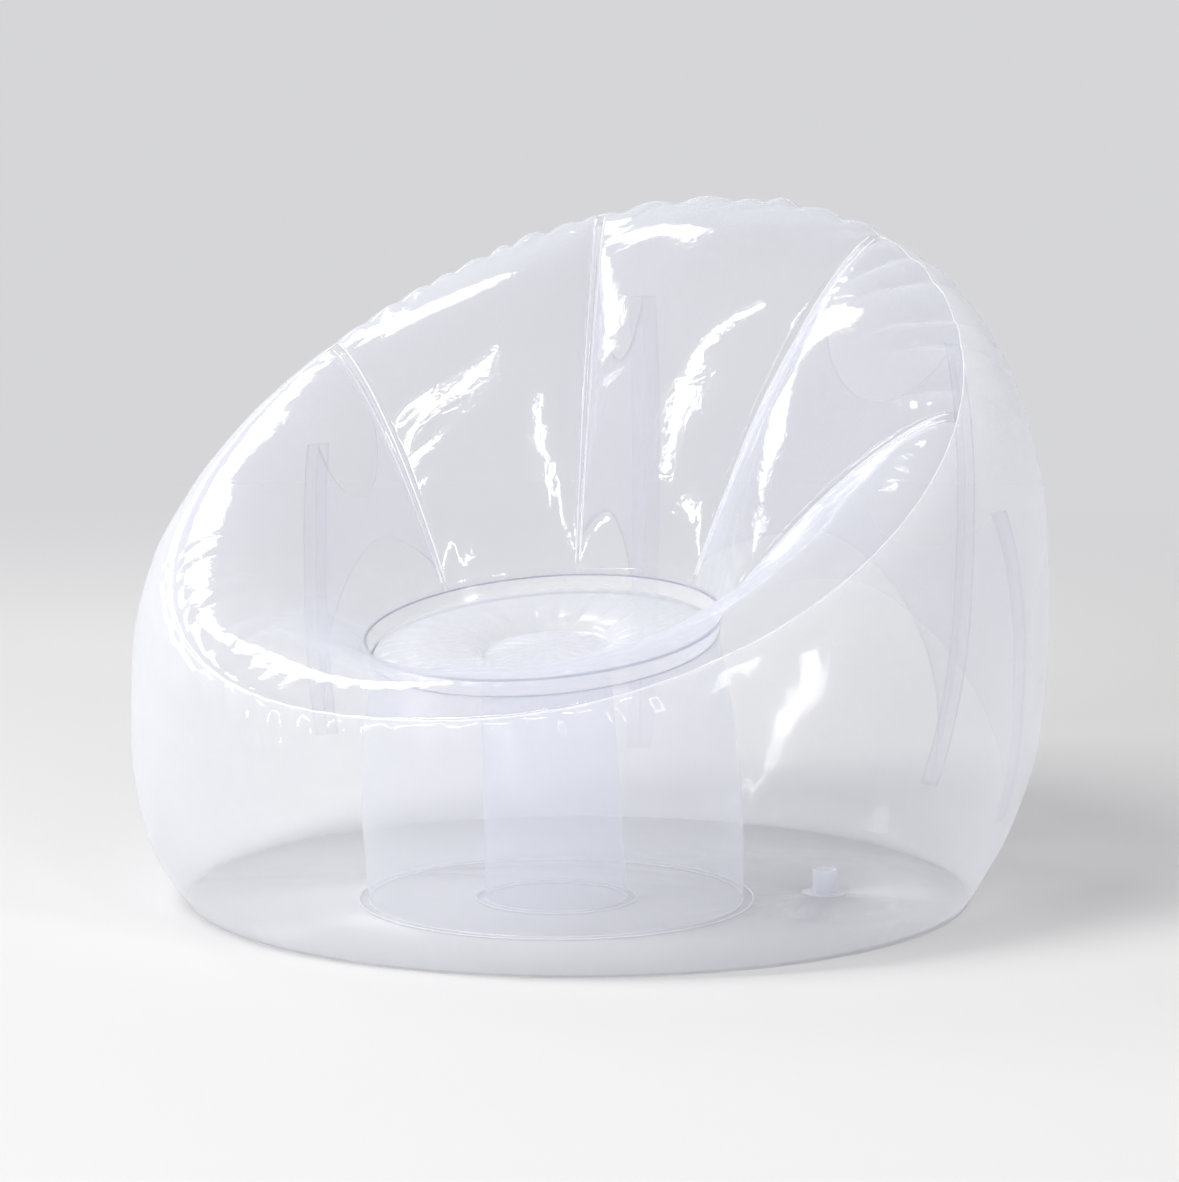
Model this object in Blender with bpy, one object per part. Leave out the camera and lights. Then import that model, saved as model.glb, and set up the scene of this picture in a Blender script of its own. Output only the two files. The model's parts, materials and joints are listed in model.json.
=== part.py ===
"""Inflatable bucket chair of clear film: metres, +Z up, front toward -Y.

The chair is a chamber of welded film. Its outer wall and its bucket lining meet at a sloping
round rim, and both are held in shape by four upright webs and by a pillar of two tubes under
the seat. Every upright section that holds the seat ring's side and the rim's side of one
heading is called a gore here, and all films are built on the gores.

A heading is the angle in degrees from the back of the chair, toward +X.
"""

import math

import bmesh
import bpy
import numpy as np
from mathutils import Matrix, Vector

# Film and clearances
FILM = 0.0005
GAP = 0.0003
WELD_GAP = 0.0005

# Overall sizes, with the chair's middle at the origin and the floor at zero
CHAIR_WIDTH = 0.990
CHAIR_DEPTH = 0.976
BACK_HEIGHT = 0.732
FRONT_HEIGHT = 0.254

# Rim, where the outer wall meets the lining
RIM_RADIUS = 0.418
RIM_FORWARD = 0.052
RIM_FALL_POWER = 1.16

# Base disc and the outer wall above it
BASE_RADIUS = 0.420
BASE_FORWARD = 0.0245
WALL_BELLY_SHARE = 0.57
WALL_FOOT_POWER = 2.8
FOOT_ROWS = 5
SHOULDER_ROWS = 7

# Seat ring, which tilts down toward the front
SEAT_RADIUS = 0.188
SEAT_FORWARD = 0.106
SEAT_HEIGHT = 0.300
SEAT_TILT = 9.7
BAND_HEIGHT = 0.020
BAND_TAPER = 0.005

# Lining: how far it stands out from a straight line, as shares of that line's length
LOBE_SHARE = 0.155
CREASE_SHARE = 0.075
LOBE_WIDTH = 44.0
LOBE_POWER = 0.62
LOBE_CURL = 0.58
LINING_ROWS = 10

# Webs: headings of the crease at the rim, of its foot on the seat ring and of the strip on the
# outer wall, and then where the strip ends, as shares of the wall's height
WEB_HEADINGS = {
    "left_side": (-67.5, -62.0, -64.0),
    "left_back": (-22.0, -16.0, -17.5),
    "right_back": (29.5, 31.5, 32.0),
    "right_side": (77.5, 65.0, 84.0),
}
STRIP_END_SHARES = {
    "left_side": (0.184, 0.772),
    "left_back": (0.106, 0.854),
    "right_back": (0.106, 0.832),
    "right_side": (0.228, 0.878),
}
COLUMN_STEP = 5.6
CREASE_HALF_GAP = 0.005
CREASE_STRIP_WIDTH = 0.018
CREASE_STRIP_ROWS = 9
WALL_STRIP_WIDTH = 0.030
WEB_TOP_SHARE = 0.84
WEB_FOOT_SHARE = 0.05
WEB_COLUMNS = 12
WEB_ROWS = 6
WEB_EDGE_GAP = 0.0007
NOTCH_DEPTH_SHARE = 0.55
ARCH_RISE = 0.030
ARCH_PEAK_SHARE = 0.34
ARCH_POWER = 0.65

# Seat panel
SEAT_CROWN = 0.016
SEAT_RING_SHARE = 0.75
SEAT_CENTRE_RADIUS = 0.068
SEAT_CENTRE_DROP = 0.008
SEAT_DIMPLE = 0.006
SEAT_COLUMNS = 48
SEAT_ROWS = 8

# Pillar
PILLAR_FORWARD = 0.0765
PILLAR_BASE_RADIUS = 0.200
PILLAR_BELLY = 0.010
TUBE_BASE_RADIUS = 0.075
TUBE_BELLY = 0.001
FLANGE_WIDTH = 0.011
PILLAR_COLUMNS = 48
PILLAR_ROWS = 7
TUBE_COLUMNS = 32
TUBE_ROWS = 4

# Valve, on the base panel
VALVE_RIGHT = 0.245
VALVE_BACK = 0.078
VALVE_STEPS = 32
BRIM_RADIUS = 0.024
BRIM_THICKNESS = 0.0012
CUP_WALL = 0.0012
CUP_HEIGHT = 0.027
CUP_LIP = 0.0015
STEM_RADIUS = 0.0090
STEM_WALL = 0.0020
STEM_LENGTH = 0.0200
STEM_RECESS = 0.0016
STEM_COLLAR = 0.0016
COLLAR_WIDTH = 0.0025
VALVE_CLEARANCE = 0.0003
PLUG_LENGTH = 0.0100
PLUG_HEAD = 0.0010
PLUG_HEAD_OVERHANG = 0.0012
FLAP_THICKNESS = 0.0010
FLAP_LAND = 0.0014
STRAP_WIDTH = 0.0022
STRAP_THICKNESS = 0.0004
STRAP_TURN = 290.0
STRAP_STEPS = 24

# Colours, as linear red, green and blue
CLEAR_FILM = (0.80, 0.84, 0.93)
WELD_FILM = (0.90, 0.93, 0.98)
VALVE_VINYL = (0.86, 0.88, 0.93)


def clear_scene():
    for old in list(bpy.data.objects):
        bpy.data.objects.remove(old, do_unlink=True)


def material(name, colour, roughness):
    made = bpy.data.materials.new(name)
    made.use_nodes = True
    shader = made.node_tree.nodes["Principled BSDF"]
    shader.inputs["Base Color"].default_value = (*colour, 1.0)
    shader.inputs["Roughness"].default_value = roughness
    shader.inputs["Metallic"].default_value = 0.0
    return made


def add_object(name, mesh, colour, roughness=0.08):
    mesh.materials.append(material(name + "_finish", colour, roughness))
    made = bpy.data.objects.new(name, mesh)
    bpy.context.scene.collection.objects.link(made)
    return made


def finish_mesh(name, shape, smooth=True):
    mesh = bpy.data.meshes.new(name)
    shape.to_mesh(mesh)
    shape.free()
    if smooth:
        mesh.shade_smooth()
        mesh.set_sharp_from_angle(angle=math.radians(40.0))
    return mesh


# Plan geometry shared by every film


def toward(heading):
    """Unit plan direction of a heading in degrees."""
    angle = math.radians(heading)
    return np.array((math.sin(angle), math.cos(angle)))


def reach(start, direction, half_width, half_depth, centre_y):
    """Distance along a plan ray from inside an ellipse to its edge."""
    scale = np.array((1.0 / half_width, 1.0 / half_depth))
    p = (start - np.array((0.0, centre_y))) * scale
    d = direction * scale
    a = d @ d
    b = p @ d
    c = p @ p - 1.0
    return (-b + math.sqrt(b * b - a * c)) / a


def rim_height(heading):
    rise = (0.5 + 0.5 * math.cos(math.radians(heading))) ** RIM_FALL_POWER
    return FRONT_HEIGHT + (BACK_HEIGHT - FRONT_HEIGHT) * rise


def on_seat(radius, heading, lift=0.0):
    """A point of the tilted seat plane, at a radius from its middle."""
    tilt = math.radians(SEAT_TILT)
    across, back = radius * toward(heading)
    y = -SEAT_FORWARD + back * math.cos(tilt) - lift * math.sin(tilt)
    z = SEAT_HEIGHT + back * math.sin(tilt) + lift * math.cos(tilt)
    return np.array((across, y, z))


def seat_heading(heading):
    """Where on the seat ring a gore begins: the creases' feet, and evenly between them."""
    rims = [crease for crease, _, _ in WEB_HEADINGS.values()]
    feet = [foot for _, foot, _ in WEB_HEADINGS.values()]
    turns = math.floor((heading + 180.0) / 360.0)
    here = heading - 360.0 * turns
    return 360.0 * turns + float(np.interp(here, [-180.0, *rims, 180.0], [-180.0, *feet, 180.0]))


class Gore:
    """The upright section through one heading of the rim."""

    def __init__(self, heading):
        seat = on_seat(SEAT_RADIUS, seat_heading(heading))
        self.start = seat[:2]
        self.seat_z = seat[2]
        rim = RIM_RADIUS * toward(heading) - np.array((0.0, RIM_FORWARD))
        self.rim_q = float(np.linalg.norm(rim - self.start))
        self.along = (rim - self.start) / self.rim_q
        self.rim_z = rim_height(heading)
        self.base_q = reach(self.start, self.along, BASE_RADIUS, BASE_RADIUS, -BASE_FORWARD)
        self.belly_q = reach(self.start, self.along, CHAIR_WIDTH / 2, CHAIR_DEPTH / 2, 0.0)
        self.belly_z = WALL_BELLY_SHARE * self.rim_z

    def point(self, q, z):
        """World place of a point q out from the seat ring and z up."""
        plan = self.start + self.along * q
        return Vector((plan[0], plan[1], z))

    def wall(self, share):
        """Outer wall section, from its foot at share 0 to the rim at share 1."""
        foot_share = FOOT_ROWS / (FOOT_ROWS + SHOULDER_ROWS)
        if share <= foot_share:
            t = share / foot_share
            q = self.base_q + (self.belly_q - self.base_q) * (1.0 - (1.0 - t) ** WALL_FOOT_POWER)
            z = FILM + GAP + (self.belly_z - FILM - GAP) * t
            return np.array((q, z))
        angle = math.pi / 2 * (share - foot_share) / (1.0 - foot_share)
        rim_q = self.rim_q + 2 * GAP
        q = rim_q + (self.belly_q - rim_q) * math.cos(angle)
        z = self.belly_z + (self.rim_z - self.belly_z) * math.sin(angle)
        return np.array((q, z))

    def lining(self, share, bulge):
        """Lining section, from the seat ring at share 0 to the rim at share 1."""
        chord = np.array((self.rim_q, self.rim_z - self.seat_z))
        out = np.array((-chord[1], chord[0]))
        peak = 1.0 / (1.0 + LOBE_CURL)
        swell = bulge * share / peak * ((1.0 - share) / (1.0 - peak)) ** LOBE_CURL
        return np.array((0.0, self.seat_z)) + chord * share + out * swell


def lining_share(row, rows):
    """Rows of the lining crowd toward the rim, where it curls over."""
    return math.sin(math.pi / 2 * row / rows)


def lobe_bulge(heading, low, high):
    """Bulge share at a heading of the panel between two creases."""
    near = min(heading - low, high - heading, LOBE_WIDTH)
    width = min(LOBE_WIDTH, (high - low) / 2)
    fullness = math.sin(math.pi / 2 * min(near / width, 1.0)) ** LOBE_POWER
    return CREASE_SHARE + (LOBE_SHARE - CREASE_SHARE) * fullness


def offset_section(points, distance):
    """A section line moved to its right by a distance, with its corners mitred."""
    points = np.asarray(points, dtype=float)
    steps = np.diff(points, axis=0)
    steps /= np.linalg.norm(steps, axis=1)[:, None]
    rights = np.stack((steps[:, 1], -steps[:, 0]), axis=1)
    moved = []
    for i, here in enumerate(points):
        before = rights[max(i - 1, 0)]
        after = rights[min(i, len(rights) - 1)]
        middle = before + after
        middle /= np.linalg.norm(middle)
        moved.append(here + middle * distance / (middle @ after))
    return np.array(moved)


def wall_headings():
    """Headings of the columns, once round, with one on every crease and wall strip."""
    keys = sorted(key for crease, _, strip in WEB_HEADINGS.values() for key in (crease, strip))
    keys.append(keys[0] + 360.0)
    headings = []
    for low, high in zip(keys, keys[1:]):
        count = math.ceil((high - low) / COLUMN_STEP)
        headings += [low + (high - low) * i / count for i in range(count)]
    return headings


# Building films


def film_mesh(name, columns, rows, place, closed=False, flip=False):
    """A sheet of columns by rows cells, with place(i, j) giving each corner."""
    shape = bmesh.new()
    bmesh.ops.create_grid(shape, x_segments=columns, y_segments=rows, size=0.5)
    for corner in shape.verts:
        i = round((corner.co.x + 0.5) * columns)
        j = round((corner.co.y + 0.5) * rows)
        corner.co = place(i, j)
    if closed:
        bmesh.ops.remove_doubles(shape, verts=shape.verts, dist=FILM / 100)
    if flip:
        bmesh.ops.reverse_faces(shape, faces=shape.faces)
    return finish_mesh(name, shape)


def thicken(made, thickness, offset):
    wall = made.modifiers.new("film", "SOLIDIFY")
    wall.thickness = thickness
    wall.offset = offset
    wall.use_even_offset = True
    return made


def film(name, columns, rows, place, closed=False, flip=False, colour=CLEAR_FILM):
    """A film whose thickness lies behind the side that its sheet faces."""
    mesh = film_mesh(name, columns, rows, place, closed, flip)
    return thicken(add_object(name, mesh, colour), FILM, -1.0)


def turned_mesh(name, outline, steps):
    """A closed outline of radius and height pairs, turned once round Z."""
    shape = bmesh.new()
    corners = [shape.verts.new((radius, 0.0, height)) for radius, height in outline]
    edges = [shape.edges.new((corners[i - 1], corners[i])) for i in range(len(corners))]
    bmesh.ops.spin(shape, geom=corners + edges, axis=(0, 0, 1), cent=(0, 0, 0),
                   angle=math.tau, steps=steps, use_merge=True)
    bmesh.ops.remove_doubles(shape, verts=shape.verts, dist=FILM / 100)
    loose = [edge for edge in shape.edges if not edge.link_faces]
    bmesh.ops.delete(shape, geom=loose, context="EDGES")
    bmesh.ops.recalc_face_normals(shape, faces=shape.faces)
    return finish_mesh(name, shape)


# Outer wall, base and lining


def outer_wall_section(gore):
    rows = FOOT_ROWS + SHOULDER_ROWS
    return np.array([gore.wall(j / rows) for j in range(rows + 1)])


def make_outer_wall():
    gores = [Gore(heading) for heading in wall_headings()]
    sections = [outer_wall_section(gore) for gore in gores]

    def place(i, j):
        gore = gores[i % len(gores)]
        q, z = sections[i % len(gores)][j]
        return gore.point(q, z)

    film("outer_wall", len(gores), FOOT_ROWS + SHOULDER_ROWS, place, closed=True, flip=True)


def make_base_panel():
    """The floor disc, with its corners on the wall's columns and a hole for the valve."""
    shape = bmesh.new()
    gores = [Gore(heading) for heading in wall_headings()]
    rim = [shape.verts.new(gore.point(gore.base_q, FILM)) for gore in gores]
    edge = [shape.edges.new((rim[i - 1], rim[i])) for i in range(len(rim))]
    centre = valve_centre()
    radius = cup_inside()
    hole = [shape.verts.new((centre.x + radius * math.cos(math.tau * i / VALVE_STEPS),
                             centre.y + radius * math.sin(math.tau * i / VALVE_STEPS), FILM))
            for i in range(VALVE_STEPS)]
    edge += [shape.edges.new((hole[i - 1], hole[i])) for i in range(len(hole))]
    bmesh.ops.triangle_fill(shape, use_beauty=True, use_dissolve=False, edges=edge,
                            normal=(0, 0, 1))
    for face in shape.faces:
        if face.normal.z < 0:
            face.normal_flip()
    mesh = finish_mesh("base_panel", shape, smooth=False)
    thicken(add_object("base_panel", mesh, CLEAR_FILM), FILM, -1.0)


def panel_headings(low, high):
    """Columns of the lining panel between two creases, half a weld gap away from both."""
    once = wall_headings()
    both = once + [heading + 360.0 for heading in once]
    margin = math.degrees(CREASE_HALF_GAP / RIM_RADIUS)
    inside = [heading for heading in both if low + margin < heading < high - margin]
    return [low + margin, *inside, high - margin]


def make_lining_panel(name, low, high):
    headings = panel_headings(low, high)
    gores = [Gore(heading) for heading in headings]
    bulges = [lobe_bulge(heading, low, high) for heading in headings]

    def place(i, j):
        q, z = gores[i].lining(lining_share(j, LINING_ROWS), bulges[i])
        return gores[i].point(q, z)

    film(name, len(headings) - 1, LINING_ROWS, place)


def make_lining():
    creases = [crease for crease, _, _ in WEB_HEADINGS.values()]
    creases.append(creases[0] + 360.0)
    names = ("lining_left", "lining_back", "lining_right", "lining_front")
    for name, low, high in zip(names, creases, creases[1:]):
        make_lining_panel(name, low, high)


# Webs and their weld strips


def crease_section(gore, depth, low, high, rows):
    """The crease, moved into the chamber by a depth, between two shares of its length."""
    shares = [low + (high - low) * i / rows for i in range(rows + 1)]
    return offset_section([gore.lining(share, CREASE_SHARE) for share in shares], depth)


def strip_rows(line, low, high):
    """Places on a wall line, whole rows and two cut ends, between two heights."""
    heights = [point.z for point in line]
    ends = [float(np.interp(height, heights, range(len(line)))) for height in (low, high)]
    return [ends[0], *[row for row in range(len(line)) if ends[0] < row < ends[1]], ends[1]]


def on_line(line, row):
    low = min(int(row), len(line) - 2)
    return line[low].lerp(line[low + 1], row - low)


def inner_wall_line(heading, depth):
    """World points up the outer wall at a heading, moved into the chamber by a depth."""
    gore = Gore(heading)
    return [gore.point(q, z) for q, z in offset_section(outer_wall_section(gore), -depth)]


def at_height(line, height):
    """The point of a rising line at a height, or its nearer end beyond them."""
    heights = [point.z for point in line]
    return on_line(line, float(np.interp(height, heights, range(len(line)))))


def make_web(name, crease, strip, foot, top):
    """An upright sheet from the crease to the wall strip, notched above and arched below."""
    depth = 2 * FILM + GAP + WEB_EDGE_GAP
    gore = Gore(crease)
    section = crease_section(gore, depth, WEB_FOOT_SHARE, WEB_TOP_SHARE, CREASE_STRIP_ROWS)
    inner = [gore.point(q, z) for q, z in section]
    outer = inner_wall_line(strip, depth)
    width = (at_height(outer, top) - inner[-1]).length
    peak = inner[0].z + ARCH_RISE

    def arch(a):
        if a > ARCH_PEAK_SHARE:
            fall = (a - ARCH_PEAK_SHARE) / (1.0 - ARCH_PEAK_SHARE)
            return foot + (peak - foot) * (1.0 - fall ** 2) ** ARCH_POWER
        fall = 1.0 - a / ARCH_PEAK_SHARE
        return inner[0].z + ARCH_RISE * math.sqrt(1.0 - fall ** 2)

    def notch(a):
        level = inner[-1].z + (top - inner[-1].z) * a
        return level - NOTCH_DEPTH_SHARE * width * math.sin(math.pi * a)

    def place(i, j):
        a = 0.5 - 0.5 * math.cos(math.pi * i / WEB_COLUMNS)
        z = arch(a) + (notch(a) - arch(a)) * j / WEB_ROWS
        here = at_height(inner, z).lerp(at_height(outer, z), a)
        return Vector((here.x, here.y, z))

    mesh = film_mesh(name, WEB_COLUMNS, WEB_ROWS, place)
    thicken(add_object(name, mesh, CLEAR_FILM), FILM, 0.0)


def make_crease_strip(name, heading):
    """A narrow strip behind the crease, under the edges of both lining panels."""
    half = math.degrees(CREASE_STRIP_WIDTH / 2 / RIM_RADIUS)
    gores = [Gore(heading + side * half) for side in (-1, 0, 1)]
    sections = [crease_section(gore, FILM + GAP, WEB_FOOT_SHARE, 1.0 - WEB_FOOT_SHARE,
                               CREASE_STRIP_ROWS) for gore in gores]

    def place(i, j):
        q, z = sections[i][j]
        return gores[i].point(q, z)

    film(name, 2, CREASE_STRIP_ROWS, place, colour=WELD_FILM)


def make_wall_strip(name, heading, foot, top):
    """A strip on the wall's inside that follows the flat cells on both sides of a column."""
    headings = wall_headings()
    at = headings.index(heading)
    near = (headings[at - 1], heading, headings[(at + 1) % len(headings)])
    lines = [inner_wall_line(column, FILM + WELD_GAP) for column in near]
    rows = strip_rows(lines[1], foot, top)

    def place(i, j):
        middle = on_line(lines[1], rows[j])
        if i == 1:
            return middle
        side = on_line(lines[i], rows[j])
        return middle.lerp(side, WALL_STRIP_WIDTH / 2 / (side - middle).length)

    film(name, 2, len(rows) - 1, place, flip=True, colour=WELD_FILM)


def make_webs():
    for name, (crease, _, strip) in WEB_HEADINGS.items():
        foot, top = [share * rim_height(strip) for share in STRIP_END_SHARES[name]]
        make_web("web_" + name, crease, strip, foot, top)
        make_crease_strip("crease_strip_" + name, crease)
        make_wall_strip("wall_strip_" + name, strip, foot, top)


# Seat and pillar


def make_seat_band():
    """The short upright band between the lining and the seat."""
    top = -(FILM + GAP)

    def place(i, j):
        heading = 360.0 * i / PILLAR_COLUMNS
        lift = top if j else -BAND_HEIGHT
        radius = SEAT_RADIUS if j else SEAT_RADIUS - BAND_TAPER
        return on_seat(radius, heading, lift)

    film("seat_band", PILLAR_COLUMNS, 1, place, closed=True)


def seat_profile(share):
    """Radius and lift of the seat panel, from its edge at share 0 to its middle at 1."""
    edge = SEAT_RADIUS - BAND_TAPER - GAP
    low = -BAND_HEIGHT
    if share < SEAT_RING_SHARE:
        t = share / SEAT_RING_SHARE
        radius = edge + (SEAT_CENTRE_RADIUS - edge) * t
        crown = SEAT_CROWN * math.sqrt(max(0.0, 1.0 - (2.0 * t - 1.0) ** 2))
        return radius, low - SEAT_CENTRE_DROP * t + crown
    t = (share - SEAT_RING_SHARE) / (1.0 - SEAT_RING_SHARE)
    radius = SEAT_CENTRE_RADIUS * (1.0 - t)
    return radius, low - SEAT_CENTRE_DROP + SEAT_DIMPLE * (1.0 - (1.0 - t) ** 2)


def make_seat_panel():
    def place(i, j):
        radius, lift = seat_profile(j / SEAT_ROWS)
        return on_seat(radius, 360.0 * i / SEAT_COLUMNS, lift)

    film("seat_panel", SEAT_COLUMNS, SEAT_ROWS, place, closed=True, flip=True)


def make_tube(name, columns, rows, top, base_radius, belly):
    """A pillar film from its welded foot on the base panel up to a ring under the seat."""
    foot = FILM + GAP + FILM

    def place(i, j):
        heading = 360.0 * i / columns
        out = toward(heading)
        radius = base_radius + (FLANGE_WIDTH if j == 0 else 0.0)
        plan = radius * out - np.array((0.0, PILLAR_FORWARD))
        low = np.array((plan[0], plan[1], foot))
        share = max(j - 1, 0) / (rows - 1)
        here = low + (top(heading) - low) * share
        here[:2] += belly * math.sin(math.pi * share) * out
        return Vector(here)

    film(name, columns, rows, place, closed=True, flip=True)


def make_pillar():
    under_band = -(BAND_HEIGHT + FILM + GAP)
    make_tube("seat_tube", PILLAR_COLUMNS, PILLAR_ROWS,
              lambda heading: on_seat(SEAT_RADIUS - BAND_TAPER, heading, under_band),
              PILLAR_BASE_RADIUS, PILLAR_BELLY)
    under_centre = -(BAND_HEIGHT + SEAT_CENTRE_DROP + FILM + 2 * GAP)
    make_tube("centre_tube", TUBE_COLUMNS, TUBE_ROWS,
              lambda heading: on_seat(SEAT_CENTRE_RADIUS, heading, under_centre),
              TUBE_BASE_RADIUS, TUBE_BELLY)


# Valve


def valve_centre():
    return Vector((VALVE_RIGHT, VALVE_BACK, 0.0))


def stem_low():
    return STEM_RECESS


def stem_high():
    return STEM_RECESS + STEM_LENGTH


def bore_radius():
    return STEM_RADIUS - STEM_WALL


def cup_inside():
    """Inner radius of the cup, which clears the stem's collar."""
    return STEM_RADIUS + COLLAR_WIDTH + VALVE_CLEARANCE


def place_valve_piece(name, mesh, colour=VALVE_VINYL):
    made = add_object(name, mesh, colour, 0.25)
    made.location = valve_centre()
    return made


def make_valve_body():
    """The moulded hat: a brim welded on the base panel and a cup that holds the stem."""
    low = FILM + GAP
    brim_top = low + BRIM_THICKNESS
    inner = cup_inside()
    outer = inner + CUP_WALL
    mouth = inner - CUP_LIP
    hole = STEM_RADIUS + VALVE_CLEARANCE
    outline = [(hole, low), (BRIM_RADIUS, low), (BRIM_RADIUS, brim_top), (outer, brim_top),
               (outer, CUP_HEIGHT), (mouth, CUP_HEIGHT), (mouth, CUP_HEIGHT - CUP_WALL),
               (inner, CUP_HEIGHT - CUP_WALL), (inner, brim_top), (hole, brim_top)]
    place_valve_piece("valve_body", turned_mesh("valve_body", outline, VALVE_STEPS))


def make_valve_stem():
    """The tube that slides down out of the cup, with a collar that stops it."""
    collar_radius = STEM_RADIUS + COLLAR_WIDTH
    outline = [(bore_radius(), stem_low()), (STEM_RADIUS, stem_low()),
               (STEM_RADIUS, stem_high() - STEM_COLLAR), (collar_radius, stem_high() - STEM_COLLAR),
               (collar_radius, stem_high()), (bore_radius(), stem_high())]
    place_valve_piece("valve_stem", turned_mesh("valve_stem", outline, VALVE_STEPS))


def make_valve_plug():
    """The stopper, with a thin head that lies in the recess at the stem's mouth."""
    shank = bore_radius() - VALVE_CLEARANCE
    head_top = stem_low() - GAP
    head = bore_radius() + PLUG_HEAD_OVERHANG
    top = stem_low() + PLUG_LENGTH
    outline = [(0.0, head_top - PLUG_HEAD), (head, head_top - PLUG_HEAD), (head, head_top),
               (shank, head_top), (shank, top), (0.0, top)]
    place_valve_piece("valve_plug", turned_mesh("valve_plug", outline, VALVE_STEPS))


def make_plug_strap():
    """The soft strap that keeps the plug, lying round the plug's head in the recess."""
    inside = bore_radius() + PLUG_HEAD_OVERHANG + VALVE_CLEARANCE
    centre = valve_centre()

    def place(i, j):
        out = toward(STRAP_TURN * i / STRAP_STEPS) * (inside + j * STRAP_WIDTH)
        return Vector((centre.x + out[0], centre.y + out[1], STRAP_THICKNESS))

    mesh = film_mesh("plug_strap", STRAP_STEPS, 1, place)
    thicken(add_object("plug_strap", mesh, VALVE_VINYL, 0.25), STRAP_THICKNESS, -1.0)


def make_check_flap():
    """The one-way flap on the stem's inner end, with its hinge roll at the edge."""
    low = stem_high() + GAP
    radius = bore_radius() + FLAP_LAND
    outline = [(0.0, low), (radius, low), (radius, low + FLAP_THICKNESS), (0.0, low + FLAP_THICKNESS)]
    mesh = turned_mesh("check_flap", outline, VALVE_STEPS)
    made = add_object("check_flap", mesh, VALVE_VINYL, 0.25)
    hinge = Vector((0.0, -radius, low + FLAP_THICKNESS / 2))
    mesh.transform(Matrix.Translation(-hinge))
    made.location = valve_centre() + hinge


def main():
    clear_scene()
    make_outer_wall()
    make_base_panel()
    make_lining()
    make_webs()
    make_seat_band()
    make_seat_panel()
    make_pillar()
    make_valve_body()
    make_valve_stem()
    make_valve_plug()
    make_plug_strap()
    make_check_flap()


main()
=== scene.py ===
"""Looks of the inflatable bucket chair: clear welded film, an air valve, and a pale studio.

Every film follows the same upright sections, called gores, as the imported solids: a gore runs from
the seat ring out to the rim and on to the outer wall. Here the films are finer, and they get what
air pressure and welding do to them: puckers along the rim, the creases and the rings.

Lengths are in metres. A heading is the angle in degrees from the back of the chair, toward +X. A
share is a part of the whole way along something, or of its height.
"""

import json
import math

import bmesh
import bpy
import numpy as np
from mathutils import Matrix, Vector


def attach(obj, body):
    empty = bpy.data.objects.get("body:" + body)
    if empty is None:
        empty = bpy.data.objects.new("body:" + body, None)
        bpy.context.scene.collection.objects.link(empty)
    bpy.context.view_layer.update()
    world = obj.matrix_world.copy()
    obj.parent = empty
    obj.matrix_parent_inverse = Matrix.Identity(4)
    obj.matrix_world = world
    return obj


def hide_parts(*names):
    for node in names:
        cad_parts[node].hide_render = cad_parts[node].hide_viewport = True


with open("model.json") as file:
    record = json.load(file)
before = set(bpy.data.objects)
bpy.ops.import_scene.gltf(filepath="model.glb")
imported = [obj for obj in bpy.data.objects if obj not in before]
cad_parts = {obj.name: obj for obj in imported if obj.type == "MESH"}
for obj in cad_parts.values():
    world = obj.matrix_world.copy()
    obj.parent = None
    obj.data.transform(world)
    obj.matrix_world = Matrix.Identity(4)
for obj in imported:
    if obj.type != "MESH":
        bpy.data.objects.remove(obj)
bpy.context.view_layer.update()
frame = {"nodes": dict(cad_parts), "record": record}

# Film, and the clearances that stand for its welds
FILM = 0.0005
GAP = 0.0003
WELD_GAP = 0.0005

# Outer wall and rim
CHAIR_WIDTH = 0.990
CHAIR_DEPTH = 0.976
BACK_HEIGHT = 0.732
FRONT_HEIGHT = 0.254
RIM_RADIUS = 0.418
RIM_FORWARD = 0.052
RIM_FALL_POWER = 1.16
BASE_RADIUS = 0.420
BASE_FORWARD = 0.0245
BASE_SIDES = 240
WALL_BELLY_SHARE = 0.57
WALL_FOOT_POWER = 2.8
# The back's headings, which have the scallops and get finer columns
BACK_HEADINGS = (-70.0, 80.0)
FINE_STEP = 0.5
WALL_STEP = 1.0

# Lobes of the lining
LOBE_SHARE = 0.155
CREASE_SHARE = 0.075
LOBE_WIDTH = 44.0
LOBE_POWER = 0.62
LOBE_CURL = 0.58
LOBE_PUFF_SHARE = 0.024
RIM_TUCK_SHARE = 0.46
TUCK_REACH_SHARE = 0.09
TUCK_FRONT_SHARE = 1.0
# The lobe that keeps its full round at the rim, and how softly its tuck starts beside it
UNTUCKED_HEADINGS = (-155.0, -75.0)
UNTUCKED_SOFT = 24.0
LINING_ROWS = 80
LONG_PANEL = 90.0
LONG_PANEL_STEP = 0.8

# Webs: headings of the crease at the rim, of its foot on the seat ring and of the wall strip
WEB_HEADINGS = {
    "left_side": (-67.5, -62.0, -64.0),
    "left_back": (-22.0, -16.0, -17.5),
    "right_back": (29.5, 31.5, 32.0),
    "right_side": (77.5, 65.0, 84.0),
}
# Foot and top of each wall strip, as shares of the rim's height there
STRIP_END_SHARES = {
    "left_side": (0.184, 0.772),
    "left_back": (0.106, 0.854),
    "right_back": (0.106, 0.832),
    "right_side": (0.228, 0.878),
}
WEB_COLUMNS = 40
WEB_ROWS = 24
WEB_TOP_SHARE = 0.84
WEB_FOOT_SHARE = 0.05
WEB_EDGE_GAP = 0.0007
NOTCH_DEPTH_SHARE = 0.55
ARCH_RISE = 0.030
ARCH_PEAK_SHARE = 0.34
ARCH_POWER = 0.65
CREASE_HALF_GAP = 0.005
CREASE_STRIP_WIDTH = 0.018
CREASE_RIDGE = 0.0022
CREASE_RIDGE_POWER = 0.7
CREASE_LINE_SHARES = (0.02, 0.985)
WALL_STRIP_WIDTH = 0.030
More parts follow.
